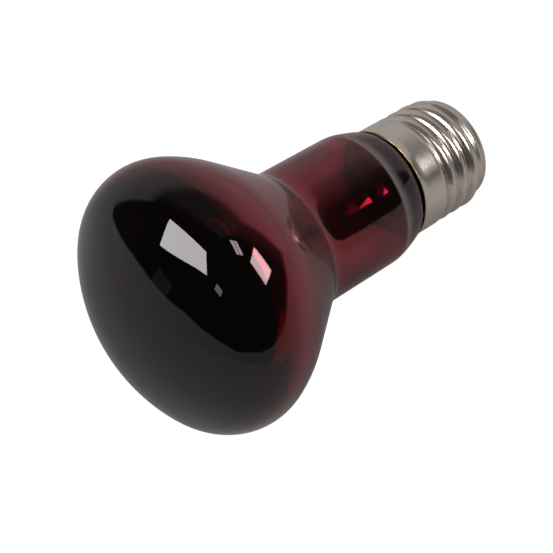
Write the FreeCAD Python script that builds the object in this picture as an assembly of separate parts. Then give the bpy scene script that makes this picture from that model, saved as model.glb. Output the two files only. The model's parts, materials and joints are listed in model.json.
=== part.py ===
# Infrared heat lamp: a reflector bulb of ruby glass with a screw cap, lying on its side as it comes to rest.
# All sizes are in millimetres and all angles in degrees.
# Each piece is drawn along the lamp's own axis: x runs from the crown of the face to the cap, y and z across.
# At the end every piece is tilted and moved together, so that the lamp rests on z = 0, its face towards -X.
import FreeCAD, Part
import os
from math import asin, atan2, ceil, cos, degrees, hypot, radians, sin, sqrt

os.makedirs("parts", exist_ok=True)
Vector = FreeCAD.Vector
AXIS = Vector(1, 0, 0)

# Glass envelope
BULB_RADIUS = 31.5           # the widest circle
FACE_RADIUS = 43.0           # dome of the face
EDGE_RADIUS = 13.0           # rounding from the face to the back
BACK_RADIUS = 33.5           # bulge of the back behind that rounding
BACK_NORMAL = 69.6           # where the bulge takes over, as the angle of the outward normal from the axis
CONE_NORMAL = 54.7           # outward normal of the straight cone, so the cone closes at the rest of 90
NECK_ROOT_RADIUS = 6.0       # hollow rounding between the cone and the neck
NECK_STEP = 3.05             # how far the neck, at the cone, stands out past the inside of the cap's rim
NECK_TAPER = 0.5             # the neck narrows a little towards the cap
NECK_LENGTH = 20.2
NECK_END_RADIUS = 8.0        # rounding from the neck to the band
BAND_NORMAL = 74.0           # outward normal of the band, which narrows from the neck to the cap
BAND_LENGTH = 4.85
SHOULDER_RADIUS = 2.2        # rounding from the band down into the cap
SHOULDER_ROOT_RADIUS = 1.2   # hollow rounding at the foot of the shoulder
STUB_GAP = 0.55              # from the narrow end of the glass, inside the cap, out to the thread
STUB_LENGTH = 7.8            # from the foot of the shoulder to the seal
GLASS_WALL = 0.75

# Cap shell, rolled from sheet
SHEET = 0.3
RIM_GAP = 0.216              # between the rim of the shell and the glass
RIM_FLARE = 0.3              # how far the rim stands out past the skirt
FLARE_LENGTH = 2.2
SKIRT_STEP = 0.05            # how far the skirt stands out past the crests of the thread
SKIRT_LENGTH = 4.0
THREAD_PITCH = 3.629         # seven turns to the inch
THREAD_ROOT_RADIUS = 12.05
THREAD_DEPTH = 1.05
THREAD_LENGTH = 15.0         # from the skirt to the end of the last turn
THREAD_RUN_IN = 3.4          # the turns come out of the skirt over this length
THREAD_RUN_OUT = 2.6         # and die away over this length
THREAD_TURN_PLACE = 11.7     # a crest stands this far past the skirt, at angle 203 round the axis
THREAD_TURN_ANGLE = 203.0
SHELL_END_STEP = 0.15        # the end past the last turn is this much narrower than the roots
CURL_RADIUS = 1.3            # the end is rolled in over the insulator
CURL_TURN = 50.0

# Insulator and centre contact
INSULATOR_HEIGHT = 4.4       # past the last turn
INSULATOR_RIM = 1.1          # glass round the contact
INSULATOR_SEAT = 2.6         # depth of the insulator inside the shell
INSULATOR_DRAFT = 0.1        # its seat narrows this much towards the bulb
INSULATOR_FLOOR = 2.4        # glass between the hollow inside and the contact
INSULATOR_WALL = 4.0         # between that hollow and the seat
CONTACT_RADIUS = 5.2
CONTACT_THICKNESS = 0.6
CONTACT_TUBE_RADIUS = 1.6    # the tube of the contact reaches down through the insulator
CONTACT_TUBE_WALL = 0.4
CENTRE_SOLDER_RADIUS = 3.0
CENTRE_SOLDER_HEIGHT = 1.1
CENTRE_SOLDER_DEPTH = 0.9    # solder that has run down into the tube
SIDE_SOLDER_RADIUS = 1.1

# Cement between the stub of the glass and the skirt
CEMENT_LENGTH = 3.4

# Stem: flare tube with its press, exhaust tube and support rod
FLARE_TUBE_RADIUS = 4.6
FLARE_WALL = 0.9
STEM_LENGTH = 19.0           # from the press to the seal
PRESS_LENGTH = 7.5
PRESS_WIDTH = 10.6
PRESS_THICKNESS = 3.8
PRESS_ROUND = 1.2
PRESS_ROOT = 1.5             # solid glass that closes the flare tube
EXHAUST_RADIUS = 1.9
EXHAUST_WALL = 0.7
EXHAUST_REACH = 8.0          # of its melted tip past the seal
EXHAUST_TIP_LENGTH = 2.0
EXHAUST_TIP_RADIUS = 0.5
EXHAUST_HOLE_RADIUS = 0.8
EXHAUST_HOLE_DEPTH = 2.2     # the bore goes on this far into the press and leaves by its side
ROD_RADIUS = 1.1
ROD_LENGTH = 15.0            # from the press to the middle of the button
BUTTON_RADIUS = 2.2

# Wires
LEAD_OFFSET = 2.8            # of each lead from the axis
INNER_LEAD_RADIUS = 0.3
INNER_LEAD_DEPTH = 1.6       # in the press
INNER_LEAD_STRAIGHT = 3.0    # before the lead spreads to the filament
SEAL_WIRE_RADIUS = 0.2
OUTER_LEAD_RADIUS = 0.2
OUTER_LEAD_DEPTH = 1.2       # in the press
OUTER_LEAD_REACH = 3.0       # past the seal
FUSE_RADIUS = 0.12
FUSE_CLEARANCE = 0.8         # past the tip of the exhaust tube, before the fuse bends to the axis
SIDE_LEAD_ANGLE = 330.0      # where the side lead comes out, round the axis
SIDE_LEAD_CLEARANCE = 0.03   # between that lead and the stub
SIDE_LEAD_END_DEPTH = 0.4    # of the middle of its end below the inside of the rim
CLAMP_WALL = 0.25            # the inner lead is folded round the tail of the filament

# Filament
FILAMENT_PLACE = 38.0        # from the crown of the face
FILAMENT_RING_RADIUS = 7.0
FILAMENT_COIL_RADIUS = 0.35
FILAMENT_TAIL = 1.6          # straight tail in the clamp
FILAMENT_OPENING = 90.0      # angle between the two ends of the ring
FILAMENT_OPENING_ANGLE = 270.0
SUPPORT_COUNT = 3
SUPPORT_RADIUS = 0.15
SUPPORT_GAP = 0.02           # between a hook and the coil
SUPPORT_DEPTH = 1.2          # of a hook in the button

# Fineness of the thread's surfaces
THREAD_COLUMNS = 24          # steps round half a turn
THREAD_SPARE_COLUMNS = 6     # drawn past each side and cut off, so that the two halves meet without a kink
THREAD_ROW_STEP = 0.25       # along the axis
JOIN_TOLERANCE = 1e-4


def place(x, radius=0.0, angle=90.0):
    """Point at x on the axis and a radius from it, at an angle round it (0 is +y, 90 is +z)."""
    return Vector(x, radius * cos(radians(angle)), radius * sin(radians(angle)))


def off(point, radius, normal):
    """The (x, radius) pair that lies a radius from another, in the direction of a normal."""
    return point[0] + radius * cos(radians(normal)), point[1] + radius * sin(radians(normal))


def line(start, end):
    return Part.LineSegment(start, end).toShape()


def arc(centre, radius, start, end):
    """Arc in the drawing plane about an (x, radius) pair, between two normals."""
    return Part.Arc(*[place(*off(centre, radius, n)) for n in (start, (start + end) / 2, end)]).toShape()


def turned(edges):
    """Solid that a closed outline in the drawing plane sweeps round the axis."""
    return Part.Face(Part.Wire(edges)).revolve(Vector(), AXIS, 360)


def turned_corners(corners):
    """Turned solid from straight runs between (x, radius) pairs."""
    points = [place(*corner) for corner in corners]
    return turned([line(a, b) for a, b in zip(points, points[1:] + points[:1])])


def rod(start, end, radius):
    return Part.makeCylinder(radius, (end - start).Length, start, end - start)


def bent_wire(points, radius):
    """Round wire of straight runs, with a ball in each bend."""
    wire = rod(points[0], points[1], radius)
    for corner, after in zip(points[1:], points[2:]):
        wire = wire.fuse([Part.makeSphere(radius, corner), rod(corner, after, radius)])
    return wire.removeSplitter()


def smooth(share):
    """Even change from 0 to 1 that starts and ends level."""
    share = min(max(share, 0.0), 1.0)
    return share * share * (3 - 2 * share)


# Radii that fit each other: the cap keeps its thread, and the glass is made to go in it
crest_radius = THREAD_ROOT_RADIUS + THREAD_DEPTH
skirt_radius = crest_radius + SKIRT_STEP
shell_end_radius = THREAD_ROOT_RADIUS - SHELL_END_STEP
stub_radius = THREAD_ROOT_RADIUS - SHEET - STUB_GAP
seat_radius = shell_end_radius - SHEET
rim_inner_radius = skirt_radius + RIM_FLARE - SHEET
neck_radius = rim_inner_radius + NECK_STEP
contact_bore_radius = CONTACT_TUBE_RADIUS - CONTACT_TUBE_WALL

# Outline of the envelope, from the crown of the face to the seal.
# An arc is (radius, end normal), a hollow one with a negative radius, and a straight run is (length,).
# All of them are tangent, so the inside of the wall is the same list with the wall taken off each radius.
rounding_centre = BULB_RADIUS - EDGE_RADIUS
face_normal = 180 - degrees(asin(rounding_centre / (FACE_RADIUS - EDGE_RADIUS)))
neck_normal = 90 - NECK_TAPER
cone_start = (rounding_centre + EDGE_RADIUS * sin(radians(BACK_NORMAL))
              + BACK_RADIUS * (sin(radians(CONE_NORMAL)) - sin(radians(BACK_NORMAL))))
cone_end = neck_radius + NECK_ROOT_RADIUS * (sin(radians(neck_normal)) - sin(radians(CONE_NORMAL)))
cone_length = (cone_start - cone_end) / cos(radians(CONE_NORMAL))
neck_end = neck_radius - NECK_LENGTH * cos(radians(neck_normal))
band_start = neck_end - NECK_END_RADIUS * (sin(radians(neck_normal)) - sin(radians(BAND_NORMAL)))
shoulder_drop = band_start - BAND_LENGTH * cos(radians(BAND_NORMAL)) - stub_radius
shoulder_normal = degrees(asin((SHOULDER_RADIUS * sin(radians(BAND_NORMAL)) + SHOULDER_ROOT_RADIUS
                                - shoulder_drop) / (SHOULDER_RADIUS + SHOULDER_ROOT_RADIUS)))
OUTLINE = [(FACE_RADIUS, face_normal), (EDGE_RADIUS, BACK_NORMAL), (BACK_RADIUS, CONE_NORMAL), (cone_length,),
           (-NECK_ROOT_RADIUS, neck_normal), (NECK_LENGTH,), (NECK_END_RADIUS, BAND_NORMAL), (BAND_LENGTH,),
           (SHOULDER_RADIUS, shoulder_normal), (-SHOULDER_ROOT_RADIUS, 90.0), (STUB_LENGTH,)]


def outline(inset):
    """Edges of the outline moved in by an inset, with the (x, radius) pair before each and after the last."""
    at, normal = (inset, 0.0), 180.0
    edges, pairs = [], [at]
    for step in OUTLINE:
        if len(step) == 1:
            after = off(at, step[0], normal - 90)
            edges.append(line(place(*at), place(*after)))
        else:
            radius = step[0] - inset
            centre = off(at, -radius, normal)
            edges.append(arc(centre, radius, normal, step[1]))
            after, normal = off(centre, radius, step[1]), step[1]
        at = after
        pairs.append(at)
    return edges, pairs


def glass_envelope():
    outside, outer = outline(0)
    inside, inner = outline(GLASS_WALL)
    seal_edge = line(place(*outer[-1]), place(*inner[-1]))
    crown_edge = line(place(*inner[0]), place(*outer[0]))
    return turned(outside + [seal_edge] + inside[::-1] + [crown_edge])


# Places along the axis
outer_pairs = outline(0)[1]
seal_place = outer_pairs[-1][0]
band_end = outer_pairs[OUTLINE.index((BAND_LENGTH,)) + 1]
shoulder_centre = off(band_end, -SHOULDER_RADIUS, BAND_NORMAL)
rim_normal = degrees(asin((rim_inner_radius - shoulder_centre[1]) / (SHOULDER_RADIUS + RIM_GAP)))
rim_place = off(shoulder_centre, SHOULDER_RADIUS + RIM_GAP, rim_normal)[0]
skirt_start = rim_place + FLARE_LENGTH
thread_start = skirt_start + SKIRT_LENGTH
thread_end = thread_start + THREAD_LENGTH
contact_place = thread_end + INSULATOR_HEIGHT
flare_bend_radius = stub_radius - GLASS_WALL - FLARE_TUBE_RADIUS
press_root_place = seal_place - STEM_LENGTH
press_place = press_root_place - PRESS_LENGTH
button_place = press_place - ROD_LENGTH
outer_lead_place = seal_place + OUTER_LEAD_REACH

# Flare of the skirt at the rim: a hollow round that is tangent to the skirt
flare_radius = (FLARE_LENGTH ** 2 + RIM_FLARE ** 2) / (2 * RIM_FLARE)
flare_centre = (skirt_start, skirt_radius + flare_radius)
flare_normal = degrees(asin(1 - RIM_FLARE / flare_radius))

# Rolled end of the shell
curl_centre = (thread_end, shell_end_radius - CURL_RADIUS)
curl_normal = 90 - CURL_TURN

# Thread form: round crests and round valleys of one radius, tangent to each other
half_pitch = THREAD_PITCH / 2
thread_round = (half_pitch ** 2 + THREAD_DEPTH ** 2) / (4 * THREAD_DEPTH)


def thread_radius(x, angle, inset):
    """Radius of the threaded sheet at x and an angle round the axis, for a surface moved in by an inset."""
    crest, valley = thread_round - inset, thread_round + inset
    turn = (x - thread_start - THREAD_TURN_PLACE) / THREAD_PITCH - (angle - THREAD_TURN_ANGLE) / 360
    from_crest = abs(turn - round(turn)) * THREAD_PITCH
    if from_crest < half_pitch * crest / (crest + valley):
        wave = crest_radius - thread_round + sqrt(crest ** 2 - from_crest ** 2)
    else:
        wave = THREAD_ROOT_RADIUS + thread_round - sqrt(valley ** 2 - (half_pitch - from_crest) ** 2)
    begun = smooth((x - thread_start) / THREAD_RUN_IN)
    ended = smooth((x - thread_end + THREAD_RUN_OUT) / THREAD_RUN_OUT)
    started = (skirt_radius - inset) * (1 - begun) + wave * begun
    return started * (1 - ended) + (shell_end_radius - inset) * ended


def thread_faces(inset):
    """Two half-round faces through points of the thread form."""
    rows = ceil(THREAD_LENGTH / THREAD_ROW_STEP)
    stations = [thread_start + THREAD_LENGTH * row / rows for row in range(rows + 1)]
    columns = range(-THREAD_SPARE_COLUMNS, THREAD_COLUMNS + THREAD_SPARE_COLUMNS + 1)
    faces = []
    for first in (0, 180):
        angles = [first + 180 * column / THREAD_COLUMNS for column in columns]
        grid = [[place(x, thread_radius(x, angle, inset), angle) for x in stations] for angle in angles]
        surface = Part.BSplineSurface()
        surface.interpolate(grid)
        round_knots, length_knots = surface.getUKnots(), surface.getVKnots()
        surface.segment(round_knots[THREAD_SPARE_COLUMNS], round_knots[-1 - THREAD_SPARE_COLUMNS],
                        length_knots[0], length_knots[-1])
        faces.append(surface.toShape())
    return faces


def half_turns(edge):
    """Two half-round faces that an edge in the drawing plane sweeps from angle 0 and from angle 180."""
    starts = [edge.rotated(Vector(), AXIS, turn) for turn in (-90, 90)]
    return [start.revolve(Vector(), AXIS, 180) for start in starts]


def cap_shell():
    faces = []
    for inset in (0, SHEET):
        skirt = line(place(skirt_start, skirt_radius - inset), place(thread_start, skirt_radius - inset))
        faces += half_turns(arc(flare_centre, -(flare_radius + inset), flare_normal, 90))
        faces += half_turns(skirt)
        faces += thread_faces(inset)
        faces += half_turns(arc(curl_centre, CURL_RADIUS - inset, 90, curl_normal))
    rim = [place(*off(flare_centre, -(flare_radius + inset), flare_normal)) for inset in (0, SHEET)]
    curl = [place(*off(curl_centre, CURL_RADIUS - inset, curl_normal)) for inset in (0, SHEET)]
    faces += half_turns(line(*rim)) + half_turns(line(*curl))
    skin = Part.makeCompound(faces[0].generalFuse(faces[1:], JOIN_TOLERANCE)[0].Faces)
    skin.sewShape()
    return Part.makeSolid(skin)


def basing_cement():
    spare = (SKIRT_LENGTH - CEMENT_LENGTH) / 2
    start, end, outside = skirt_start + spare, thread_start - spare, skirt_radius - SHEET
    ring = turned_corners([(start, stub_radius), (end, stub_radius), (end, outside), (start, outside)])
    return ring.cut(outer_lead_side())


def cap_insulator():
    seat_end = (thread_end - INSULATOR_SEAT, seat_radius - INSULATOR_DRAFT)
    hollow_radius = seat_end[1] - INSULATOR_WALL
    top_radius = CONTACT_RADIUS + INSULATOR_RIM
    curl_inside = CURL_RADIUS - SHEET
    curl_end = off(curl_centre, curl_inside, curl_normal)
    floor_place = contact_place - INSULATOR_FLOOR
    corners = [curl_end, (contact_place, top_radius), (contact_place, CONTACT_TUBE_RADIUS),
               (floor_place, CONTACT_TUBE_RADIUS), (floor_place, hollow_radius),
               (seat_end[0], hollow_radius), seat_end, (thread_end, seat_radius)]
    points = [place(*corner) for corner in corners]
    edges = [line(a, b) for a, b in zip(points, points[1:])]
    return turned(edges + [arc(curl_centre, curl_inside, 90, curl_normal)])


def centre_contact():
    top = contact_place + CONTACT_THICKNESS
    tube_end = contact_place - INSULATOR_FLOOR
    return turned_corners([(tube_end, contact_bore_radius), (tube_end, CONTACT_TUBE_RADIUS),
                           (contact_place, CONTACT_TUBE_RADIUS), (contact_place, CONTACT_RADIUS),
                           (top, CONTACT_RADIUS), (top, contact_bore_radius)])


def centre_solder():
    """A domed button on the contact, with a plug in its bore."""
    top = contact_place + CONTACT_THICKNESS
    dome_radius = (CENTRE_SOLDER_RADIUS ** 2 + CENTRE_SOLDER_HEIGHT ** 2) / (2 * CENTRE_SOLDER_HEIGHT)
    centre = (top + CENTRE_SOLDER_HEIGHT - dome_radius, 0.0)
    edge_normal = degrees(asin(CENTRE_SOLDER_RADIUS / dome_radius))
    corners = [(top, CENTRE_SOLDER_RADIUS), (top, contact_bore_radius),
               (top - CENTRE_SOLDER_DEPTH, contact_bore_radius), (top - CENTRE_SOLDER_DEPTH, 0.0),
               (top + CENTRE_SOLDER_HEIGHT, 0.0)]
    points = [place(*corner) for corner in corners]
    edges = [line(a, b) for a, b in zip(points, points[1:])]
    return turned(edges + [arc(centre, dome_radius, 0, edge_normal)]).cut(fuse_wire())


def side_solder():
    """A blob over the rim of the shell, round the end of the side lead, which ends on the glass."""
    centre = place(rim_place, rim_inner_radius + SHEET / 2, SIDE_LEAD_ANGLE)
    glass, pairs = outline(0)
    closing = [line(place(*pairs[-1]), place(seal_place)), line(place(seal_place), place(0))]
    filled_glass = turned(glass + closing)
    blob = Part.makeSphere(SIDE_SOLDER_RADIUS, centre, AXIS)
    return blob.cut([cap_shell_solid, filled_glass, outer_lead_side()])


def stem_glass():
    """Flare tube with its solid root and the press, before the wires and the exhaust hole."""
    bend_start = seal_place - flare_bend_radius
    bend_centre = (bend_start, stub_radius - GLASS_WALL)
    bore_radius = FLARE_TUBE_RADIUS - FLARE_WALL
    root_end = press_root_place + PRESS_ROOT
    lip_end = seal_place + FLARE_WALL
    corners = [(seal_place, bend_centre[1]), (seal_place, stub_radius), (lip_end, stub_radius),
               (lip_end, bend_centre[1])]
    inner_corners = [(bend_start, bore_radius), (root_end, bore_radius), (root_end, 0.0),
                     (press_root_place, 0.0), (press_root_place, FLARE_TUBE_RADIUS),
                     (bend_start, FLARE_TUBE_RADIUS)]
    edges = [line(place(*a), place(*b)) for a, b in zip(corners, corners[1:])]
    edges.append(arc(bend_centre, flare_bend_radius + FLARE_WALL, 0, -90))
    edges += [line(place(*a), place(*b)) for a, b in zip(inner_corners, inner_corners[1:])]
    edges.append(arc(bend_centre, flare_bend_radius, -90, 0))
    press = Part.makeBox(PRESS_LENGTH, PRESS_WIDTH, PRESS_THICKNESS,
                         Vector(press_place, -PRESS_WIDTH / 2, -PRESS_THICKNESS / 2))
    long_edges = [edge for edge in press.Edges if abs(edge.tangentAt(0).x) > 0.5]
    return turned(edges).fuse(press.makeFillet(PRESS_ROUND, long_edges)).removeSplitter()


def stem_tube():
    bore_end = press_root_place - EXHAUST_HOLE_DEPTH
    bore = rod(place(bore_end), place(press_root_place + PRESS_ROOT), EXHAUST_RADIUS - EXHAUST_WALL)
    side_hole_place = bore_end + EXHAUST_RADIUS - EXHAUST_WALL
    side_hole = rod(place(side_hole_place), place(side_hole_place, PRESS_WIDTH / 2), EXHAUST_HOLE_RADIUS)
    inner_wires = [inner_lead(1), inner_lead(-1), seal_wire(1), seal_wire(-1)]
    return stem_glass().cut([bore, side_hole] + inner_wires + [outer_lead_centre(), outer_lead_side()])


def exhaust_tube():
    start, tip = press_root_place + PRESS_ROOT, seal_place + EXHAUST_REACH
    melt = tip - EXHAUST_TIP_LENGTH
    bore_radius = EXHAUST_RADIUS - EXHAUST_WALL
    return turned_corners([(start, bore_radius), (start, EXHAUST_RADIUS), (melt, EXHAUST_RADIUS),
                           (tip, EXHAUST_TIP_RADIUS), (tip, 0.0), (melt, 0.0),
                           (melt - EXHAUST_WALL, bore_radius)])


def support_rod():
    button = Part.makeSphere(BUTTON_RADIUS, place(button_place))
    glass = rod(place(press_place), place(button_place), ROD_RADIUS).fuse(button).removeSplitter()
    return glass.cut([support_stalk(number) for number in range(SUPPORT_COUNT)])


def support_angle(number):
    """The hooks divide the ring of the filament evenly."""
    ring_start = FILAMENT_OPENING_ANGLE + FILAMENT_OPENING / 2
    return ring_start + (360 - FILAMENT_OPENING) * (number + 1) / (SUPPORT_COUNT + 1)


def support_stalk(number):
    """Straight part of a hook, from inside the button to the wire of its eye."""
    eye, button = place(FILAMENT_PLACE, FILAMENT_RING_RADIUS, support_angle(number)), place(button_place)
    way = (eye - button).normalize()
    eye_radius = FILAMENT_COIL_RADIUS + SUPPORT_GAP + SUPPORT_RADIUS
    return rod(button + way * (BUTTON_RADIUS - SUPPORT_DEPTH), eye - way * eye_radius, SUPPORT_RADIUS)


def filament_support(number):
    """Stalk with an eye round the coil."""
    angle = support_angle(number)
    eye = place(FILAMENT_PLACE, FILAMENT_RING_RADIUS, angle)
    eye_radius = FILAMENT_COIL_RADIUS + SUPPORT_GAP + SUPPORT_RADIUS
    ring = Part.makeTorus(eye_radius, SUPPORT_RADIUS, eye, place(0, 1, angle + 90))
    return ring.fuse(support_stalk(number)).removeSplitter()


def filament_end(side):
    """End of the ring on a side of the opening (1 or -1) and the direction of its tail."""
    angle = FILAMENT_OPENING_ANGLE + side * FILAMENT_OPENING / 2
    return place(FILAMENT_PLACE, FILAMENT_RING_RADIUS, angle), place(0, side, angle - 90)


def filament_tail(side, radius=FILAMENT_COIL_RADIUS):
    end, way = filament_end(side)
    return rod(end, end + way * FILAMENT_TAIL, radius)


def filament():
    start, way = filament_end(1)
    section = Part.Face(Part.Wire(Part.Circle(start, way, FILAMENT_COIL_RADIUS).toShape()))
    ring = section.revolve(Vector(), AXIS, 360 - FILAMENT_OPENING)
    return ring.fuse([filament_tail(1), filament_tail(-1)]).removeSplitter()


def inner_lead(side):
    """Nickel wire from the press to the tail of the filament, which its end is folded round."""
    end, way = filament_end(side)
    clamp_middle = end + way * (FILAMENT_TAIL / 2)
    points = [place(press_place + INNER_LEAD_DEPTH, side * LEAD_OFFSET, 0),
              place(press_place - INNER_LEAD_STRAIGHT, side * LEAD_OFFSET, 0), clamp_middle]
    lead = bent_wire(points, INNER_LEAD_RADIUS)
    clamp = filament_tail(side, FILAMENT_COIL_RADIUS + CLAMP_WALL)
    return lead.fuse(clamp).cut(filament_tail(side)).removeSplitter()


def seal_wire(side):
    """Copper-clad wire that the glass of the press is melted to."""
    start, end = press_place + INNER_LEAD_DEPTH, press_root_place + PRESS_ROOT - OUTER_LEAD_DEPTH
    return rod(place(start, side * LEAD_OFFSET, 0), place(end, side * LEAD_OFFSET, 0), SEAL_WIRE_RADIUS)


def outer_lead_centre():
    start = press_root_place + PRESS_ROOT - OUTER_LEAD_DEPTH
    return rod(place(start, -LEAD_OFFSET, 0), place(outer_lead_place, -LEAD_OFFSET, 0), OUTER_LEAD_RADIUS)


def outer_lead_side():
    """Copper wire that turns out past the seal and comes back along the stub to the rim of the shell."""
    start = press_root_place + PRESS_ROOT - OUTER_LEAD_DEPTH
    back_radius = stub_radius + SIDE_LEAD_CLEARANCE + OUTER_LEAD_RADIUS
    exit_radius = rim_inner_radius - SIDE_LEAD_END_DEPTH
    return bent_wire([place(start, LEAD_OFFSET, 0), place(outer_lead_place, LEAD_OFFSET, 0),
                      place(outer_lead_place, back_radius, SIDE_LEAD_ANGLE),
                      place(skirt_start, back_radius, SIDE_LEAD_ANGLE),
                      place(rim_place + OUTER_LEAD_RADIUS, exit_radius, SIDE_LEAD_ANGLE)], OUTER_LEAD_RADIUS)


def fuse_wire():
    """Thin wire from the centre lead past the exhaust tube to the solder."""
    bend = seal_place + EXHAUST_REACH + FUSE_CLEARANCE
    return bent_wire([place(outer_lead_place, -LEAD_OFFSET, 0), place(bend, -LEAD_OFFSET, 0),
                      place(contact_place - INSULATOR_FLOOR), place(contact_place + CONTACT_THICKNESS)],
                     FUSE_RADIUS)


# Tilt at rest: the lamp stands on the rounding of its edge and on the last crest of the thread.
# Both are round in section: each reaches down by x sin(tilt) + r cos(tilt) of its centre, plus its radius.
widest_place = FACE_RADIUS - sqrt((FACE_RADIUS - EDGE_RADIUS) ** 2 - rounding_centre ** 2)
last_crest = thread_start + THREAD_TURN_PLACE + THREAD_PITCH * (270 - THREAD_TURN_ANGLE) / 360
crest_centre = crest_radius - thread_round
run, rise = last_crest - widest_place, rounding_centre - crest_centre
tilt = degrees(asin((EDGE_RADIUS - thread_round) / hypot(run, rise)) + atan2(rise, run))

cap_shell_solid = cap_shell()
pieces = {
    "glass_envelope": glass_envelope(),
    "cap_shell": cap_shell_solid,
    "basing_cement": basing_cement(),
    "cap_insulator": cap_insulator(),
    "centre_contact": centre_contact(),
    "centre_solder": centre_solder(),
    "side_solder": side_solder(),
    "stem_tube": stem_tube(),
    "exhaust_tube": exhaust_tube(),
    "support_rod": support_rod(),
    "inner_lead_a": inner_lead(1),
    "inner_lead_b": inner_lead(-1),
    "seal_wire_a": seal_wire(1),
    "seal_wire_b": seal_wire(-1),
    "outer_lead_side": outer_lead_side(),
    "outer_lead_centre": outer_lead_centre(),
    "fuse_wire": fuse_wire(),
    "filament": filament(),
}
for number in range(SUPPORT_COUNT):
    pieces[f"filament_support_{number + 1}"] = filament_support(number)

# The lamp is tilted about y, and then moved so that its box stands centred over the origin on z = 0
for piece in pieces.values():
    piece.rotate(Vector(), Vector(0, 1, 0), tilt)
box = Part.makeCompound([pieces["glass_envelope"], pieces["cap_shell"], pieces["centre_solder"],
                         pieces["centre_contact"], pieces["side_solder"]]).optimalBoundingBox(False)
for name, piece in pieces.items():
    piece.translate(Vector(-(box.XMin + box.XMax) / 2, -(box.YMin + box.YMax) / 2, -box.ZMin))
    piece.exportStep(f"parts/{name}.step")
    print(f"{name}: {len(piece.Solids)} solid, {piece.Volume:.2f} mm3, valid {piece.isValid()}")
print(f"tilt {tilt:.2f}, rim {rim_place:.2f}, seal {seal_place:.2f}, contact {contact_place:.2f}")
print(f"box {box.XLength:.2f} x {box.YLength:.2f} x {box.ZLength:.2f}")
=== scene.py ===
# Infrared heat lamp: a reflector bulb of ruby glass with a screw cap, lying on its side.
# Lengths are in metres and angles in degrees unless a name says otherwise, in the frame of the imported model.
import bpy
import json
from math import asin, ceil, cos, degrees, hypot, pi, radians, sin, tau
from mathutils import Matrix, Vector


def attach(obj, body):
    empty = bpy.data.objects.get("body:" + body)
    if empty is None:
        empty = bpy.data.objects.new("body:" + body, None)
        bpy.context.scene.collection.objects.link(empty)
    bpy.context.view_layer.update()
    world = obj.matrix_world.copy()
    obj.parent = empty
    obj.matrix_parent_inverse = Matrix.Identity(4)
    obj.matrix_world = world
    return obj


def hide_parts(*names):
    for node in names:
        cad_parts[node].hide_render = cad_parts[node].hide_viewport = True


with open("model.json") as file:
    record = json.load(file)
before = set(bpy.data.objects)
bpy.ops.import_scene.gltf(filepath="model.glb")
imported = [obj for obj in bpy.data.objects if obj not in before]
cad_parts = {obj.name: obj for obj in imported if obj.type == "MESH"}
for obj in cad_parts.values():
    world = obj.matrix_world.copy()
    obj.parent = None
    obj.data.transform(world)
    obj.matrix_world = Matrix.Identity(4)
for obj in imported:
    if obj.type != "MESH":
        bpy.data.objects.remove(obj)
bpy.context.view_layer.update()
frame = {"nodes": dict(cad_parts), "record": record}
MM = 0.001

# Lamp's own line
# Everything on the lamp is turned or wound round one line, from the crown of the face to the cap. The lamp
# lies tilted on its edge and its cap, so each piece is drawn along that line and then carried to its place.
skirt_mount = next(mount for mount in frame["record"]["mounts"] if mount["name"] == "cap_skirt")
LINE = Vector(skirt_mount["axis"]).normalized()
ACROSS = Vector((0, 1, 0))
UPWARD = LINE.cross(ACROSS)
skirt_point = Vector(skirt_mount["pos_m"])
crown_reach = min(vertex.co.dot(LINE) for vertex in frame["nodes"]["glass_envelope"].data.vertices)
CROWN = skirt_point + LINE * (crown_reach - skirt_point.dot(LINE))
LAMP = Matrix.Translation(CROWN) @ Matrix((LINE, ACROSS, UPWARD)).transposed().to_4x4()

# Glass envelope
# One piece of ruby glass, blown in a mould: domed face, wide rounded edge, coned back, neck, and a narrow end
# that the cap covers. The wall is even except in the neck, and the fire-polished surface has faint waves.
BULB_RADIUS = 31.5 * MM
FACE_RADIUS = 43.0 * MM
EDGE_RADIUS = 13.0 * MM
BACK_RADIUS = 33.5 * MM
BACK_NORMAL = 69.6
CONE_NORMAL = 54.7
NECK_ROOT_RADIUS = 6.0 * MM
NECK_RADIUS = 16.2 * MM
NECK_TAPER = 0.5
NECK_LENGTH = 20.2 * MM
NECK_END_RADIUS = 8.0 * MM
BAND_NORMAL = 74.0
BAND_LENGTH = 4.85 * MM
SHOULDER_RADIUS = 2.2 * MM
SHOULDER_ROOT_RADIUS = 1.2 * MM
STUB_RADIUS = 11.2 * MM
STUB_LENGTH = 7.8 * MM
GLASS_WALL = 0.75 * MM
# The wall of the neck was drawn out in two places, as (start, end, how much thinner it is after that)
THINNINGS = [(53.4 * MM, 61.2 * MM, 0.195 * MM), (62.6 * MM, 66.2 * MM, 0.10 * MM)]
DRAWN_GENTLY = 0.4            # how steep the drawing out is where it starts, as a share of even
OUTLINE_STEP = 0.35 * MM
OUTLINE_EASING = 20           # rounds of averaging, which let one curve flow into the next
ENVELOPE_STEPS = 144
POLE_RADIUS = 1e-7            # a pair nearer to the line than this lies on it

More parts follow.
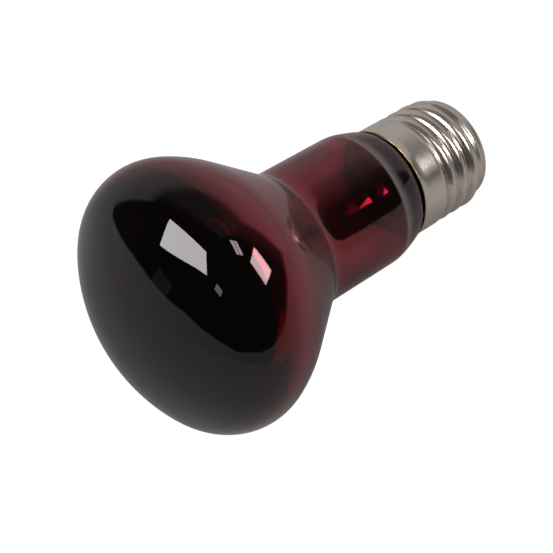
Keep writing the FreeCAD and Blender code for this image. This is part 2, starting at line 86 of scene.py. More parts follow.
rounding_centre = BULB_RADIUS - EDGE_RADIUS
face_normal = 180 - degrees(asin(rounding_centre / (FACE_RADIUS - EDGE_RADIUS)))
neck_normal = 90 - NECK_TAPER
cone_start = (rounding_centre + EDGE_RADIUS * sin(radians(BACK_NORMAL))
              + BACK_RADIUS * (sin(radians(CONE_NORMAL)) - sin(radians(BACK_NORMAL))))
cone_end = NECK_RADIUS + NECK_ROOT_RADIUS * (sin(radians(neck_normal)) - sin(radians(CONE_NORMAL)))
cone_length = (cone_start - cone_end) / cos(radians(CONE_NORMAL))
neck_end = NECK_RADIUS - NECK_LENGTH * cos(radians(neck_normal))
band_start = neck_end - NECK_END_RADIUS * (sin(radians(neck_normal)) - sin(radians(BAND_NORMAL)))
shoulder_drop = band_start - BAND_LENGTH * cos(radians(BAND_NORMAL)) - STUB_RADIUS
shoulder_normal = degrees(asin((SHOULDER_RADIUS * sin(radians(BAND_NORMAL)) + SHOULDER_ROOT_RADIUS
                                - shoulder_drop) / (SHOULDER_RADIUS + SHOULDER_ROOT_RADIUS)))
OUTLINE = [(FACE_RADIUS, face_normal), (EDGE_RADIUS, BACK_NORMAL), (BACK_RADIUS, CONE_NORMAL), (cone_length,),
           (-NECK_ROOT_RADIUS, neck_normal), (NECK_LENGTH,), (NECK_END_RADIUS, BAND_NORMAL), (BAND_LENGTH,),
           (SHOULDER_RADIUS, shoulder_normal), (-SHOULDER_ROOT_RADIUS, 90.0), (STUB_LENGTH,)]


def off(point, radius, normal):
    """The (x, radius) pair that lies a radius from another, in the direction of a normal."""
    return point[0] + radius * cos(radians(normal)), point[1] + radius * sin(radians(normal))


def followed(steps):
    """Pairs from the crown along tangent arcs (radius, end normal) and straight runs (length,)."""
    at, normal, pairs = (0.0, 0.0), 180.0, [(0.0, 0.0)]
    for step in steps:
        if len(step) == 1:
            count = ceil(step[0] / OUTLINE_STEP)
            pairs += [off(at, step[0] * (k + 1) / count, normal - 90) for k in range(count)]
        else:
            centre = off(at, -step[0], normal)
            count = ceil(abs(step[0]) * radians(abs(step[1] - normal)) / OUTLINE_STEP)
            turns = [normal + (step[1] - normal) * (k + 1) / count for k in range(count)]
            pairs += [off(centre, step[0], turn) for turn in turns]
            normal = step[1]
        at = pairs[-1]
    return pairs


def flowing(pairs, rounds):
    """The pairs after rounds of averaging with their neighbours. The crown mirrors, and the end stays."""
    for _ in range(rounds):
        around = [(pairs[1][0], -pairs[1][1])] + pairs + [pairs[-1]]
        pairs = [((a[0] + 2 * b[0] + c[0]) / 4, (a[1] + 2 * b[1] + c[1]) / 4)
                 for a, b, c in zip(around, around[1:-1], around[2:])]
    return pairs


def moved_in(pairs, wall):
    """The pairs of a parallel outline, a wall further in."""
    inner = []
    for before, at, after in zip([(pairs[1][0], -pairs[1][1])] + pairs, pairs, pairs[1:] + pairs[-1:]):
        run, rise = after[0] - before[0], after[1] - before[1]
        length = hypot(run, rise)
        inner.append((at[0] + wall * rise / length, max(at[1] - wall * run / length, 0.0)))
    return inner


def drawn_out(x, start, end, amount):
    """How much thinner the wall has become at x: it starts gently and ends steeply."""
    share = min(max((x - start) / (end - start), 0.0), 1.0)
    return amount * share * (DRAWN_GENTLY + (1 - DRAWN_GENTLY) * share)


outside = flowing(followed(OUTLINE), OUTLINE_EASING)
inside = [(x, radius + sum(drawn_out(x, *thinning) for thinning in THINNINGS))
          for x, radius in moved_in(outside, GLASS_WALL)]


def turned(name, outline, steps):
    """Mesh that (x, radius) pairs sweep round the lamp's line. A pair on the line closes it with a pole."""
    vertices, rings = [], []
    for x, radius in outline:
        count = steps if radius > POLE_RADIUS else 1
        rings.append([len(vertices) + step for step in range(count)])
        turns = [tau * step / count for step in range(count)]
        vertices += [(x, radius * cos(turn), radius * sin(turn)) for turn in turns]
    faces = []
    for ring, after in zip(rings, rings[1:]):
        for step in range(steps):
            corners = [ring[step % len(ring)], ring[(step + 1) % len(ring)],
                       after[(step + 1) % len(after)], after[step % len(after)]]
            faces.append(tuple(dict.fromkeys(corners)))
    mesh = bpy.data.meshes.new(name)
    mesh.from_pydata(vertices, [], faces)
    mesh.polygons.foreach_set("use_smooth", [True] * len(mesh.polygons))
    return mesh


class Signal:
    """An output socket in sums: each operator adds a Math node to its tree."""

    def __init__(self, socket):
        self.socket = socket

    def math(self, operation, *operands):
        tree = Tree(self.socket.id_data)
        return tree.add("ShaderNodeMath", {"operation": operation}, dict(enumerate(operands)))

    def __add__(self, other):
        return self.math("ADD", self, other)

    def __sub__(self, other):
        return self.math("SUBTRACT", self, other)

    def __rsub__(self, other):
        return self.math("SUBTRACT", other, self)

    def __mul__(self, other):
        return self.math("MULTIPLY", self, other)

    def __truediv__(self, other):
        return self.math("DIVIDE", self, other)

    def __pow__(self, other):
        return self.math("POWER", self, other)

    def __gt__(self, other):
        return self.math("GREATER_THAN", self, other)

    def __lt__(self, other):
        return self.math("LESS_THAN", self, other)

    def __abs__(self):
        return self.math("ABSOLUTE", self)

    __radd__ = __add__
    __rmul__ = __mul__

    def at_least(self, other):
        return self.math("MAXIMUM", self, other)

    def at_most(self, other):
        return self.math("MINIMUM", self, other)

    def eased(self, start, end):
        """Even change from 0 at one value to 1 at another, level at both."""
        tree = Tree(self.socket.id_data)
        return tree.add("ShaderNodeMapRange", {"interpolation_type": "SMOOTHSTEP"},
                        {"Value": self, "From Min": start, "From Max": end})


class Tree:
    """A node tree. add() makes a node from its type, its settings, and the values or links of its sockets."""

    def __init__(self, tree):
        self.tree = tree

    def add(self, kind, settings=None, sockets=None, output=0):
        node = self.tree.nodes.new(kind)
        for name, value in (settings or {}).items():
            if name == "stops":
                ramp = node.color_ramp.elements
                while len(ramp) < len(value):
                    ramp.new(1.0)
                for element, (position, color) in zip(ramp, value):
                    element.position, element.color = position, color
            else:
                setattr(node, name, value)
        for name, value in (sockets or {}).items():
            if isinstance(value, Signal):
                self.tree.links.new(value.socket, node.inputs[name])
            else:
                node.inputs[name].default_value = value
        return Signal(node.outputs[output]) if node.outputs else None


def reach(tree, vector, axis):
    """Signal of how far a vector reaches along an axis."""
    return tree.add("ShaderNodeVectorMath", {"operation": "DOT_PRODUCT"}, {0: vector, 1: axis},
                    output="Value")


def lamp_distances(tree):
    """Signals of a point's distance from the crown along the lamp's line, and from the line in both ways."""
    point = tree.add("ShaderNodeTexCoord", output="Object")
    offset = tree.add("ShaderNodeVectorMath", {"operation": "SUBTRACT"}, {0: point, 1: CROWN})
    return [reach(tree, offset, axis) for axis in (LINE, ACROSS, UPWARD)]


def speckle(tree, scale, detail=2.0):
    """Noise from 0 to 1. Its scale is in spots per metre."""
    point = tree.add("ShaderNodeTexCoord", output="Object")
    return tree.add("ShaderNodeTexNoise", {}, {"Vector": point, "Scale": scale, "Detail": detail})


def between(tree, factor, first, second):
    """Colour that goes from one to another with a factor: inputs 6 and 7 and output 2 of a Mix node."""
    return tree.add("ShaderNodeMix", {"data_type": "RGBA"}, {"Factor": factor, 6: first, 7: second}, output=2)


def bumped(tree, height, depth):
    """Normal of a surface that stands up by a height signal, for a depth in metres."""
    return tree.add("ShaderNodeBump", {}, {"Height": height, "Distance": depth, "Strength": 1.0})


def finish_of(name, surface):
    """Material whose surface a function draws in its empty tree."""
    made = bpy.data.materials.new(name)
    made.use_nodes = True
    made.node_tree.nodes.clear()
    tree = Tree(made.node_tree)
    tree.add("ShaderNodeOutputMaterial", {}, {"Surface": surface(tree)})
    return made


def principled(tree, **sockets):
    """Principled surface. The words of a socket's name are joined with underscores."""
    values = {name.replace("_", " "): value for name, value in sockets.items()}
    return tree.add("ShaderNodeBsdfPrincipled", {}, values)


RUBY = (0.285, 0.006, 0.018, 1)
RUBY_FACE_DARK = (0.05, 0.001, 0.003, 1)
FACE_DARK_END = 11.0 * MM         # the glass is coloured darker within this distance of the crown
FACE_DARK_FADE = 5.0 * MM
RUBY_INSIDE = (0.04, 0.0005, 0.001, 1)
GLASS_INDEX = 1.52
WAVE_DEPTH = 0.02 * MM
PAINTED_HIGHLIGHT_START = 68.1 * MM        # a painted highlight: a pale, pinkish band on the glass at the shoulder, where the glass is also rougher
PAINTED_HIGHLIGHT_FULL = 68.9 * MM
PAINTED_HIGHLIGHT_FADE = 68.6 * MM
PAINTED_HIGHLIGHT_END = 71.6 * MM
PAINTED_HIGHLIGHT = (0.76, 0.64, 0.64, 1)
PAINTED_HIGHLIGHT_BRIGHT = (0.86, 0.76, 0.76, 1)
PAINTED_HIGHLIGHT_SHARE = 0.16             # how much of the surface the painted highlight covers where it is strongest
FILM_THIN = 0.32              # share of the light that the film throws back where it is thin
FILM_FRONT_FADE = 0.5 * MM
FILM_FRONT = 17.5 * MM
FILM_THICKENING = 7.0 * MM    # length over which it gets to its full strength behind its front edge
FILM_RAGGED = 4.0 * MM
NOTCH_ANGLE = 117.0           # it is thin again in a scallop, where the mount kept the vapour off the neck
NOTCH_X = 56.8 * MM
NOTCH_DEPTH = 29.0 * MM
NOTCH_EDGE = 0.2 * MM
NOTCH_RAGGED = 0.3            # share of the front edge's raggedness
FILM_END = 68.4 * MM
FILM_END_FADE = 0.3 * MM
FILM = (0.9, 0.9, 0.9, 1)
FILM_DULL = (0.55, 0.5, 0.5, 1)   # in the neck the film is uneven
DULL_START = 48.2 * MM
DULL_FULL = 54.2 * MM


def ruby_outside(tree):
    """Clear red glass, darker near the crown, with a few smudges, and a painted highlight on the band, where
    the glass is also rougher.
    """
    along = lamp_distances(tree)[0]
    waves = speckle(tree, 60, 1.0)
    smudges = speckle(tree, 160, 4.0).eased(0.55, 0.8)
    color = between(tree, along.eased(FACE_DARK_END, FACE_DARK_END + FACE_DARK_FADE), RUBY_FACE_DARK, RUBY)
    painted_highlight_band = along.eased(PAINTED_HIGHLIGHT_START, PAINTED_HIGHLIGHT_FULL) * (1 - along.eased(PAINTED_HIGHLIGHT_FADE, PAINTED_HIGHLIGHT_END))
    clear = principled(tree, Base_Color=color, IOR=GLASS_INDEX, Transmission_Weight=1.0,
                       Roughness=smudges * 0.04 + painted_highlight_band * 0.4 + 0.01, Normal=bumped(tree, waves, WAVE_DEPTH))
    # Over the band a pale, pinkish matt surface is mixed in: a painted highlight.
    painted_highlight_surface = principled(tree, Base_Color=between(tree, smudges, PAINTED_HIGHLIGHT, PAINTED_HIGHLIGHT_BRIGHT), Roughness=0.5)
    return tree.add("ShaderNodeMixShader", {}, {0: painted_highlight_band * PAINTED_HIGHLIGHT_SHARE, 1: clear, 2: painted_highlight_surface})


def film_inside(tree):
    """Bare glass in the face and at the cap, and the aluminium film between, thin at its edges."""
    along, across, upward = lamp_distances(tree)
    angle = upward.math("ARCTAN2", upward, across)
    ragged = (speckle(tree, 40, 3.0) - 0.5) * FILM_RAGGED
    behind = along + ragged - FILM_FRONT
    scallop = NOTCH_X + NOTCH_DEPTH * (1 - angle.math("COSINE", angle - radians(NOTCH_ANGLE)))
    notch = 1 - (scallop - along + ragged * NOTCH_RAGGED).eased(-NOTCH_EDGE, NOTCH_EDGE)
    full = behind.eased(0, FILM_THICKENING) * (1 - notch)
    end = 1 - along.eased(FILM_END - FILM_END_FADE, FILM_END + FILM_END_FADE)
    film = behind.eased(0, FILM_FRONT_FADE) * end * (FILM_THIN + full * (1 - FILM_THIN))
    bare = principled(tree, Base_Color=RUBY_INSIDE, IOR=GLASS_INDEX, Transmission_Weight=1.0, Roughness=0.0)
    clouds = speckle(tree, 90, 1.0).eased(0.35, 0.7) * along.eased(DULL_START, DULL_FULL)
    mirror = principled(tree, Base_Color=between(tree, clouds, FILM, FILM_DULL), Metallic=1.0, Roughness=0.03)
    return tree.add("ShaderNodeMixShader", {}, {0: film, 1: bare, 2: mirror})


def piece_of(name, mesh, materials, slot, *nodes):
    """Finished piece: its mesh is carried to its place, it rides on the lamp and stands for its solids."""
    mesh.transform(LAMP)
    for material in materials:
        mesh.materials.append(material)
    piece = bpy.data.objects.new(name, mesh)
    bpy.context.scene.collection.objects.link(piece)
    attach(piece, "root")
    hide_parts(*nodes)


envelope_mesh = turned("glass_bulb", outside + inside[::-1], ENVELOPE_STEPS)
first_inside = (len(outside) - 1) * ENVELOPE_STEPS
envelope_mesh.polygons.foreach_set("material_index", [int(face >= first_inside)
                                                      for face in range(len(envelope_mesh.polygons))])
glass_finishes = [finish_of("ruby glass", ruby_outside), finish_of("mirror film", film_inside)]
piece_of("glass_bulb", envelope_mesh, glass_finishes, "ruby_glass", "glass_envelope")

# Cap shell
# Thin brass sheet, rolled to a smooth skirt and a round screw thread and plated with nickel. The plate is
# satin and handled, and the cut edge at the glass shows bare brass.
SHEET = 0.3 * MM
RIM_X = 76.82 * MM
FLARE = 0.3 * MM
FLARE_LENGTH = 2.2 * MM
SKIRT_RADIUS = skirt_mount["dims"]["r_mm"] * MM
SKIRT_LENGTH = skirt_mount["dims"]["length_mm"] * MM
THREAD_PITCH = 3.629 * MM
CREST_RADIUS = 13.1 * MM
ROOT_RADIUS = 12.05 * MM
THREAD_LENGTH = 15.0 * MM
RUN_IN = 3.4 * MM
RUN_OUT = 2.6 * MM
TURN_PLACE = 11.7 * MM
TURN_ANGLE = 203.0
END_RADIUS = 11.9 * MM
CURL_RADIUS = 1.3 * MM
CURL_TURN = 50.0
SHELL_ROWS = 200
SHELL_STEPS = 192
WELD = 0.001 * MM             # points nearer than this are one


def sized_group(title, sizes, counts=()):
    """Tree of a new geometry node group, and the signals of its named sizes and of its material."""
    group = bpy.data.node_groups.new(title, "GeometryNodeTree")
    for name in sizes:
        kind = "NodeSocketInt" if name in counts else "NodeSocketFloat"
        group.interface.new_socket(name, in_out="INPUT", socket_type=kind)
    group.interface.new_socket("Material", in_out="INPUT", socket_type="NodeSocketMaterial")
    group.interface.new_socket("Geometry", in_out="OUTPUT", socket_type="NodeSocketGeometry")
    given = group.nodes.new("NodeGroupInput").outputs
    return Tree(group), [Signal(given[name]) for name in sizes], Signal(given["Material"])


def smooth_output(tree, geometry, material):
    """End of a geometry node group: what it gives is smooth and real, and has its material."""
    smoothed = tree.add("GeometryNodeSetShadeSmooth", {}, {"Geometry": geometry})
    real = tree.add("GeometryNodeRealizeInstances", {}, {"Geometry": smoothed})
    finished = tree.add("GeometryNodeSetMaterial", {}, {"Geometry": real, "Material": material})
    tree.add("NodeGroupOutput", {}, {"Geometry": finished})


def shell_group():
    """Node group that draws the rolled shell on a grid: the length is one way and the turn the other."""
    tree, sizes, material = sized_group("rolled screw shell", [
        "Rim", "Flare", "Flare Length", "Skirt Radius", "Skirt Length", "Pitch", "Crest Radius",
        "Root Radius", "Thread Length", "Run In", "Run Out", "Turn Place", "Turn Angle", "End Radius",
        "Curl Radius", "Curl Turn"])
    (rim, flare, flare_length, skirt, skirt_length, pitch, crest, root, length, run_in, run_out, turn_place,
     turn_angle, end, curl, curl_turn) = sizes
    grid = tree.add("GeometryNodeMeshGrid", {}, {"Size X": 1.0, "Size Y": 1.0, "Vertices X": SHELL_ROWS,
                                                 "Vertices Y": SHELL_STEPS + 1})
    position = tree.add("GeometryNodeInputPosition")
    share, around = [tree.add("ShaderNodeSeparateXYZ", {}, {0: position}, output=k) + 0.5 for k in (0, 1)]
    thread_start = rim + flare_length + skirt_length
    thread_end = thread_start + length
    sweep = rim + share * (thread_end + curl * curl_turn - rim)
    x = sweep.at_most(thread_end)
    half = pitch / 2
    depth = crest - root
    rounding = (half * half + depth * depth) / (depth * 4)
    turn = (x - thread_start - turn_place) / pitch - around + turn_angle
    from_crest = abs(turn - turn.math("ROUND", turn)) * pitch
    to_root = half - from_crest
    top = crest - rounding + (rounding * rounding - from_crest * from_crest).at_least(0) ** 0.5
    bottom = root + rounding - (rounding * rounding - to_root * to_root).at_least(0) ** 0.5
    wave = bottom + (top - bottom) * (from_crest < half / 2)
    begun = ((x - thread_start) / run_in).eased(0, 1)
    ended = ((x - thread_end) / run_out + 1).eased(0, 1)
    outward = flare * (1 - (x - rim) / flare_length).at_least(0) ** 2
    skirted = skirt + outward
    threaded = skirted + (wave - skirted) * begun
    curled = (sweep - thread_end).at_least(0) / curl
    radius = threaded + (end - threaded) * ended - curl * (1 - curled.math("COSINE", curled))
    place = tree.add("ShaderNodeCombineXYZ", {}, {0: x + curl * curled.math("SINE", curled),
                                                  1: radius * around.math("COSINE", around * tau),
                                                  2: radius * around.math("SINE", around * tau)})
    moved = tree.add("GeometryNodeSetPosition", {}, {"Geometry": grid, "Position": place})
    joined = tree.add("GeometryNodeMergeByDistance", {}, {"Geometry": moved, "Distance": WELD})
    smooth_output(tree, joined, material)
    return tree.tree


def grown(name, group, values, others=()):
    """Plain mesh that a node group makes from the values of its inputs, with other modifiers after it."""
    holder = bpy.data.objects.new(name, bpy.data.meshes.new(name))
    bpy.context.scene.collection.objects.link(holder)
    modifier = holder.modifiers.new(name, "NODES")
    modifier.node_group = group
    for item in group.interface.items_tree:
        if item.in_out == "INPUT":
            modifier[item.identifier] = values[item.name]
    for kind, settings in others:
        added = holder.modifiers.new(kind, kind)
        for setting, value in settings.items():
            setattr(added, setting, value)
    evaluated = holder.evaluated_get(bpy.context.evaluated_depsgraph_get())
    mesh = bpy.data.meshes.new_from_object(evaluated)
    holder.modifiers.clear()
    bpy.data.objects.remove(holder)
    return mesh


NICKEL = (0.78, 0.685, 0.615, 1)
BRASS = (0.78, 0.56, 0.26, 1)
TARNISH = (0.40, 0.33, 0.27, 1)
TARNISH_START = RIM_X + 7.0 * MM    # the skirt is wiped clean, and the valleys of the thread aren't
TARNISH_FULL = RIM_X + 9.0 * MM
BRASS_START = RIM_X + 0.15 * MM     # how far the cut edge shows
BRASS_END = RIM_X + 0.35 * MM
DENT_DEPTH = 0.08 * MM


def nickel_plate(tree):
    along, across, upward = lamp_distances(tree)
    radius = (across * across + upward * upward) ** 0.5
    valley = 1 - radius.eased(ROOT_RADIUS, CREST_RADIUS)
    threaded = along.eased(TARNISH_START, TARNISH_FULL)
    cut_edge = 1 - along.eased(BRASS_START, BRASS_END)
    clouds = speckle(tree, 220, 4.0)
    worn = between(tree, valley * threaded * clouds * 0.5, NICKEL, TARNISH)
    color = between(tree, cut_edge, worn, BRASS)
    dents = speckle(tree, 130, 2.0) + speckle(tree, 900, 3.0) * 0.1
    return principled(tree, Base_Color=color, Metallic=1.0, Roughness=clouds * 0.16 + 0.19,
                      Normal=bumped(tree, dents, DENT_DEPTH))


shell_values = {"Rim": RIM_X, "Flare": FLARE, "Flare Length": FLARE_LENGTH, "Skirt Radius": SKIRT_RADIUS,
                "Skirt Length": SKIRT_LENGTH, "Pitch": THREAD_PITCH, "Crest Radius": CREST_RADIUS,
                "Root Radius": ROOT_RADIUS, "Thread Length": THREAD_LENGTH, "Run In": RUN_IN,
                "Run Out": RUN_OUT, "Turn Place": TURN_PLACE, "Turn Angle": TURN_ANGLE / 360,
                "End Radius": END_RADIUS, "Curl Radius": CURL_RADIUS, "Curl Turn": radians(CURL_TURN),
                "Material": finish_of("nickel plate", nickel_plate)}
shell_mesh = grown("screw_shell", shell_group(), shell_values,
                   [("SOLIDIFY", {"thickness": SHEET, "offset": -1.0, "use_even_offset": True})])
piece_of("screw_shell", shell_mesh, [], "nickel_plate", "cap_shell")

# Filament
# Fine tungsten wire, wound close on a mandrel and bent round as an open ring. Its straight ends are folded
# into the ends of the nickel leads, and three hooks keep the ring in shape.
FILAMENT_X = 38.0 * MM
RING_RADIUS = 7.0 * MM
COIL_RADIUS = 0.35 * MM
FILAMENT_WIRE_RADIUS = 0.045 * MM
RING_START = 315.0
RING_TURN = 270.0
TAIL = 1.6 * MM
COIL_PITCH = 0.2 * MM
POINTS_PER_TURN = 10
WIRE_SIDES = 6
TUNGSTEN = (0.20, 0.19, 0.19, 1)
TUNGSTEN_PALE = (0.34, 0.33, 0.32, 1)


def coil_group():
    """Node group that winds a wire along an arc with straight tails."""
    tree, sizes, material = sized_group("coiled filament", [
        "Place", "Ring Radius", "Coil Radius", "Wire Radius", "Start", "Turn", "Tail", "Coils", "Points"],
        counts=["Points"])
    place, ring, coil, wire, start, turn, tail, coils, points = sizes
    line = tree.add("GeometryNodeCurvePrimitiveLine")
    dense = tree.add("GeometryNodeResampleCurve", {}, {"Curve": line, "Count": points})
    share = tree.add("ShaderNodeSeparateXYZ", {}, {0: tree.add("GeometryNodeInputPosition")}, output=2)
    length = ring * turn
    run = share * (length + tail * 2) - tail
    bent = run.at_least(0).at_most(length)
    straight = run - bent
    angle = start + bent / ring
    wound = share * coils * tau
    out = ring + coil * wound.math("COSINE", wound)
    sine, cosine = angle.math("SINE", angle), angle.math("COSINE", angle)
    wire_place = tree.add("ShaderNodeCombineXYZ", {}, {0: place + coil * wound.math("SINE", wound),
                                                       1: out * cosine - straight * sine,
                                                       2: out * sine + straight * cosine})
    path = tree.add("GeometryNodeSetPosition", {}, {"Geometry": dense, "Position": wire_place})
    section = tree.add("GeometryNodeCurvePrimitiveCircle", {}, {"Resolution": WIRE_SIDES, "Radius": wire})
    tube = tree.add("GeometryNodeCurveToMesh", {},
                    {"Curve": path, "Profile Curve": section, "Fill Caps": True})
    smooth_output(tree, tube, material)
    return tree.tree


def tungsten(tree):
    grain = speckle(tree, 6000, 2.0)
    return principled(tree, Base_Color=between(tree, grain, TUNGSTEN, TUNGSTEN_PALE), Metallic=1.0,
                      Roughness=grain * 0.2 + 0.3)


coil_count = ceil((RING_RADIUS * radians(RING_TURN) + 2 * TAIL) / COIL_PITCH)
coil_values = {"Place": FILAMENT_X, "Ring Radius": RING_RADIUS,
               "Coil Radius": COIL_RADIUS - FILAMENT_WIRE_RADIUS, "Wire Radius": FILAMENT_WIRE_RADIUS,
               "Start": radians(RING_START), "Turn": radians(RING_TURN), "Tail": TAIL,
               "Coils": float(coil_count), "Points": coil_count * POINTS_PER_TURN,
               "Material": finish_of("tungsten", tungsten)}
coil_mesh = grown("coiled_filament", coil_group(), coil_values)
piece_of("coiled_filament", coil_mesh, [], "tungsten", "filament")

# Mount, leads and contacts
# These solids have their real shapes in the frame and take their finishes here: drawn and fire-polished clear
# glass, drawn wires, baked cement, moulded black glass, pressed brass and soft solder.
CLEAR_GLASS = (0.93, 0.96, 0.94, 1)
CEMENT = (0.28, 0.23, 0.17, 1)
CEMENT_PALE = (0.52, 0.46, 0.37, 1)
GRIT_DEPTH = 0.15 * MM
BLACK_GLASS = (0.008, 0.006, 0.012, 1)
BLACK_DUSTY = (0.06, 0.055, 0.06, 1)
RIPPLE_DEPTH = 0.04 * MM
DRAWING_DEPTH = 0.004 * MM


def clear_glass(tree):
    waves = speckle(tree, 400, 2.0)
    return principled(tree, Base_Color=CLEAR_GLASS, IOR=GLASS_INDEX, Transmission_Weight=1.0,
                      Roughness=waves * 0.03, Normal=bumped(tree, waves, WAVE_DEPTH))


def drawn_metal(low, high, roughness):
    """Surface of drawn or pressed metal whose colour varies between two, for finish_of."""
    def surface(tree):
        clouds = speckle(tree, 700, 4.0)
        return principled(tree, Base_Color=between(tree, clouds, low, high), Metallic=1.0,
                          Roughness=clouds * 0.2 + roughness,
                          Normal=bumped(tree, speckle(tree, 2500, 2.0), DRAWING_DEPTH))
    return surface


def baked_cement(tree):
    grit = speckle(tree, 1500, 6.0)
    return principled(tree, Base_Color=between(tree, grit, CEMENT, CEMENT_PALE), Roughness=grit * 0.2 + 0.75,
                      Normal=bumped(tree, grit, GRIT_DEPTH))


def black_glass(tree):
    ripple = speckle(tree, 500, 3.0)
    dust = speckle(tree, 1800, 4.0).eased(0.5, 0.8)
    return principled(tree, Base_Color=between(tree, dust, BLACK_GLASS, BLACK_DUSTY),
                      Roughness=dust * 0.3 + 0.12, Normal=bumped(tree, ripple, RIPPLE_DEPTH))


# The solids of each finish, its name and its surface
FINISHES = [
    ("basing_cement", "baked cement", baked_cement),
    ("cap_insulator", "black glass", black_glass),
    ("centre_contact", "pressed brass", drawn_metal((0.52, 0.36, 0.16, 1), (0.80, 0.60, 0.30, 1), 0.16)),
    ("centre_solder", "centre solder", drawn_metal((0.42, 0.42, 0.43, 1), (0.68, 0.68, 0.69, 1), 0.22)),
    ("side_solder", "side solder", drawn_metal((0.40, 0.40, 0.41, 1), (0.66, 0.66, 0.67, 1), 0.25)),
    ("stem_tube exhaust_tube support_rod", "clear glass", clear_glass),
    ("inner_lead_a inner_lead_b", "nickel wire",
     drawn_metal((0.40, 0.37, 0.33, 1), (0.60, 0.56, 0.50, 1), 0.25)),
    ("seal_wire_a seal_wire_b", "copper-clad wire",
     drawn_metal((0.30, 0.05, 0.03, 1), (0.48, 0.12, 0.06, 1), 0.3)),
    ("outer_lead_centre outer_lead_side fuse_wire", "copper wire",
     drawn_metal((0.52, 0.22, 0.12, 1), (0.86, 0.45, 0.30, 1), 0.25)),
    ("filament_support_1 filament_support_2 filament_support_3", "molybdenum wire",
     drawn_metal((0.26, 0.26, 0.27, 1), (0.44, 0.44, 0.45, 1), 0.3)),
]
for names, title, surface in FINISHES:
    made = finish_of(title, surface)
    for name in names.split():
        for material_slot in frame["nodes"][name].material_slots:
            material_slot.material = made

# Floor
# A plain, round and matt floor. The camera sees it lifted nearly to white, and the lamp's shadow stays on it.
FLOOR_RADIUS = 0.30
FLOOR_STEPS = 128
FLOOR_COLOR = (0.385, 0.385, 0.385, 1)
FLOOR_LIFT = 0.60             # share of plain white in the floor as the camera sees it
FLOOR_WHITE = 1.60


def pale_floor(tree):
    matt = principled(tree, Base_Color=FLOOR_COLOR, Roughness=0.9, Specular_IOR_Level=0.1)
    white = tree.add("ShaderNodeEmission", {}, {"Color": (1, 1, 1, 1), "Strength": FLOOR_WHITE})
    seen = tree.add("ShaderNodeLightPath", output="Is Camera Ray")
    return tree.add("ShaderNodeMixShader", {}, {0: seen * FLOOR_LIFT, 1: matt, 2: white})


floor_turns = [tau * step / FLOOR_STEPS for step in range(FLOOR_STEPS)]
floor_rim = [(FLOOR_RADIUS * cos(turn), FLOOR_RADIUS * sin(turn), 0) for turn in floor_turns]
floor_mesh = bpy.data.meshes.new("floor")
floor_mesh.from_pydata(floor_rim, [], [tuple(range(FLOOR_STEPS))])
floor_mesh.materials.append(finish_of("pale floor", pale_floor))
floor = bpy.data.objects.new("floor", floor_mesh)
bpy.context.scene.collection.objects.link(floor)

# Camera
# It stands where the photograph was taken from, and its place is worked out from the lamp's own line.
# Azimuths are from +X towards +Y, here and in the world.
CAMERA_AZIMUTH = -132.0
CAMERA_ELEVATION = 58.9
CAMERA_DISTANCE = 0.450
AIM_X = 40.0 * MM             # the place on the lamp's line that the distance is measured to
AIM_RIGHT = -2.63 * MM        # where that place lies in the picture, from its middle
AIM_DOWN = -4.5 * MM
FOCAL_PIXELS = 2064.3
PICTURE_PIXELS = 553
SENSOR_WIDTH = 36.0           # in millimetres, as Blender has it


def toward(azimuth, elevation):
    """Direction with an azimuth and an elevation."""
    flat = cos(radians(elevation))
    return Vector((flat * cos(radians(azimuth)), flat * sin(radians(azimuth)), sin(radians(elevation))))


to_camera = toward(CAMERA_AZIMUTH, CAMERA_ELEVATION)
camera_right = (-to_camera).cross(Vector((0, 0, 1))).normalized()
camera_up = to_camera.cross(camera_right)
camera = bpy.data.objects.new("camera", bpy.data.cameras.new("camera"))
camera.data.sensor_width = SENSOR_WIDTH
camera.data.lens = FOCAL_PIXELS / PICTURE_PIXELS * SENSOR_WIDTH
camera.data.clip_start = 0.01
camera_place = (CROWN + LINE * AIM_X - camera_right * AIM_RIGHT + camera_up * AIM_DOWN
                + to_camera * CAMERA_DISTANCE)
camera.matrix_world = (Matrix.Translation(camera_place)
                       @ Matrix((camera_right, camera_up, to_camera)).transposed().to_4x4())
bpy.context.scene.collection.objects.link(camera)
bpy.context.scene.camera = camera


# Softboxes
# Two rectangular boxes of even light, with the sizes and places at which the face of the lamp mirrors them.
def softbox(name, centre, side, width, height, radiance):
    """Rectangular area lamp that faces the origin, with one side along a given direction."""
    away = Vector(centre).normalized()
    level = Vector(side)
    level = (level - away * level.dot(away)).normalized()
    lamp = bpy.data.lights.new(name, "AREA")
    lamp.shape = "RECTANGLE"
    lamp.size, lamp.size_y = width, height
    lamp.energy = radiance * width * height * pi
    box = bpy.data.objects.new(name, lamp)
    turned_in = Matrix((level, away.cross(level), away)).transposed().to_4x4()
    box.matrix_world = Matrix.Translation(centre) @ turned_in
    bpy.context.scene.collection.objects.link(box)


softbox("left softbox", centre=(-0.908, 0.347, 0.803), side=(-0.06, -0.93, 0.36), width=0.76, height=0.52,
        radiance=9.4)
softbox("right softbox", centre=(0.593, -0.633, 0.880), side=(0.12, -0.75, -0.65), width=0.44, height=0.52,
        radiance=8.8)

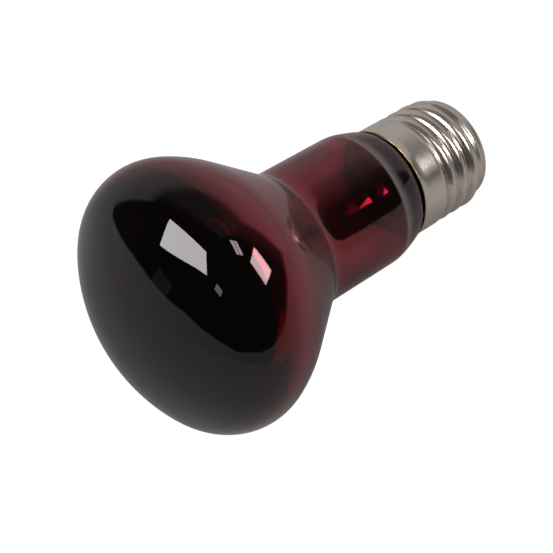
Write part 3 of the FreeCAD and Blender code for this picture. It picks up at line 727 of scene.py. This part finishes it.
# World
# What the glass and the metal mirror: a dark room with its ceiling, the paper sweep, the table all round, and
# a window with bars. The camera sees plain white, and matt things get an even fill.
SWEEP_AZIMUTH = 46.0          # middle of the paper sweep, behind the lamp as the camera sees it
SWEEP_LEFT = 113.0
SWEEP_RIGHT = -8.0
SWEEP_LEAN = 0.3              # degrees that its right edge moves inwards in each degree upwards
SWEEP_SOFTNESS = 3.0
SWEEP_TOP, SWEEP_TOP_END = 27.0, 44.0     # elevations over which it darkens
SAG_TURN = 30.0               # left of this its top sags and gets sharper, by shares of the turn
SAG = 0.22
SAG_SHARPENING = 0.15
SWEEP_LEVEL = 0.42
TABLE_LEVEL = 0.36
TABLE_RISE = 0.14             # more light on the table under the left softbox
TABLE_FALL = 0.06             # and less of it in front
TABLE_SOFTNESS = 0.8
CEILING_LEVEL = 0.12
CEILING_TURN, CEILING_TURN_END = 40.0, 72.0     # turns from the sweep's middle over which it ends
ROOM_LEVEL = 0.035
FILL_LEVEL = 0.30
# Where the table ends all round, as (azimuth past the sweep's back, elevation)
TABLE_EDGE = [(-180, -0.5), (-146, 1), (-106, 5.5), (-91, 7), (-78, 4), (-54, -2.5), (60, -3), (71, -11),
              (87, -3), (94, 0.5), (104, 3.5), (134, 5.5), (154, -0.5), (164, -4), (180, -0.5)]
EDGE_LOW, EDGE_HIGH = -20.0, 20.0
# Panes as (azimuth, elevation, direction of one side, half width, half height, bars, level)
PANES = [(-46, 72, (0.90, -0.36, -0.28), 0.092, 0.108, 2, 6.0),
         (-164.5, 31, (-0.2, 0.9, 0.3), 0.05, 0.06, 0, 2.0),
         (162, 8, (0, 0, 1), 0.09, 0.10, 0, 0.10)]
BAR_COSINE = 0.5              # a bar lies where the wave across the pane is higher than this
BAR_SHADE = 0.6

world = bpy.data.worlds.new("studio")
bpy.context.scene.world = world
world.use_nodes = True
world.node_tree.nodes.clear()
air = Tree(world.node_tree)
way = air.add("ShaderNodeTexCoord", output="Generated")


def pane(azimuth, elevation, side, half_width, half_height, bars):
    """Mask of a rectangle seen in a direction, with one side along another and some bars across it."""
    middle = toward(azimuth, elevation)
    level = Vector(side)
    level = (level - middle * level.dot(middle)).normalized()
    ahead = reach(air, way, middle)
    u, v = [reach(air, way, axis) / ahead for axis in (level, middle.cross(level))]
    mask = (abs(u) < half_width) * (abs(v) < half_height) * (ahead > 0)
    if bars:
        wave = u * (pi * bars / half_width)
        mask = mask * (1 - (wave.math("COSINE", wave) > BAR_COSINE) * BAR_SHADE)
    return mask


up = Vector((0, 0, 1))
back = toward(SWEEP_AZIMUTH, 0)
aside = reach(air, way, up.cross(back))
turn = aside.math("ARCTAN2", aside, reach(air, way, back)) * (180 / pi)
height = reach(air, way, up)
rise = height.math("ARCSINE", height) * (180 / pi)
edge_stops = [(0.5 + azimuth / 360, [(elevation - EDGE_LOW) / (EDGE_HIGH - EDGE_LOW)] * 3 + [1])
              for azimuth, elevation in TABLE_EDGE]
edge_share = air.add("ShaderNodeValToRGB", {"stops": edge_stops}, {"Fac": turn / 360 + 0.5})
edge = edge_share * (EDGE_HIGH - EDGE_LOW) + EDGE_LOW
on_table = 1 - (rise - edge).eased(-TABLE_SOFTNESS, TABLE_SOFTNESS)
right_edge = turn - (SWEEP_RIGHT - SWEEP_AZIMUTH) - rise * SWEEP_LEAN
left_edge = turn - (SWEEP_LEFT - SWEEP_AZIMUTH)
in_sweep = (right_edge.eased(-SWEEP_SOFTNESS, SWEEP_SOFTNESS)
            * (1 - left_edge.eased(-SWEEP_SOFTNESS, SWEEP_SOFTNESS)))
sagging = (turn - SAG_TURN).at_least(0)
top = 1 - (rise + sagging * SAG).eased(SWEEP_TOP, SWEEP_TOP_END - sagging * SAG_SHARPENING)
under_ceiling = 1 - abs(turn).eased(CEILING_TURN, CEILING_TURN_END)
in_front = reach(air, way, back * -1).at_least(0)
table_light = TABLE_LEVEL + TABLE_RISE * aside.at_least(0) - TABLE_FALL * in_front
above = ROOM_LEVEL + under_ceiling * (CEILING_LEVEL - ROOM_LEVEL)
upper = above + in_sweep * top * (SWEEP_LEVEL - above)
mirrored = upper + on_table * (1 - in_sweep) * (table_light - upper)
for *shape, light in PANES:
    mirrored = mirrored + pane(*shape) * light
rays = air.tree.nodes.new("ShaderNodeLightPath").outputs
polished = Signal(rays["Is Glossy Ray"]).at_least(Signal(rays["Is Transmission Ray"]))
seen = Signal(rays["Is Camera Ray"])
level = FILL_LEVEL + polished * (mirrored - FILL_LEVEL)
strength = level + seen * (1 - level)
background = air.add("ShaderNodeBackground", {}, {"Color": (1, 1, 1, 1), "Strength": strength})
air.add("ShaderNodeOutputWorld", {}, {"Surface": background})

bpy.context.scene.view_settings.view_transform = "Standard"
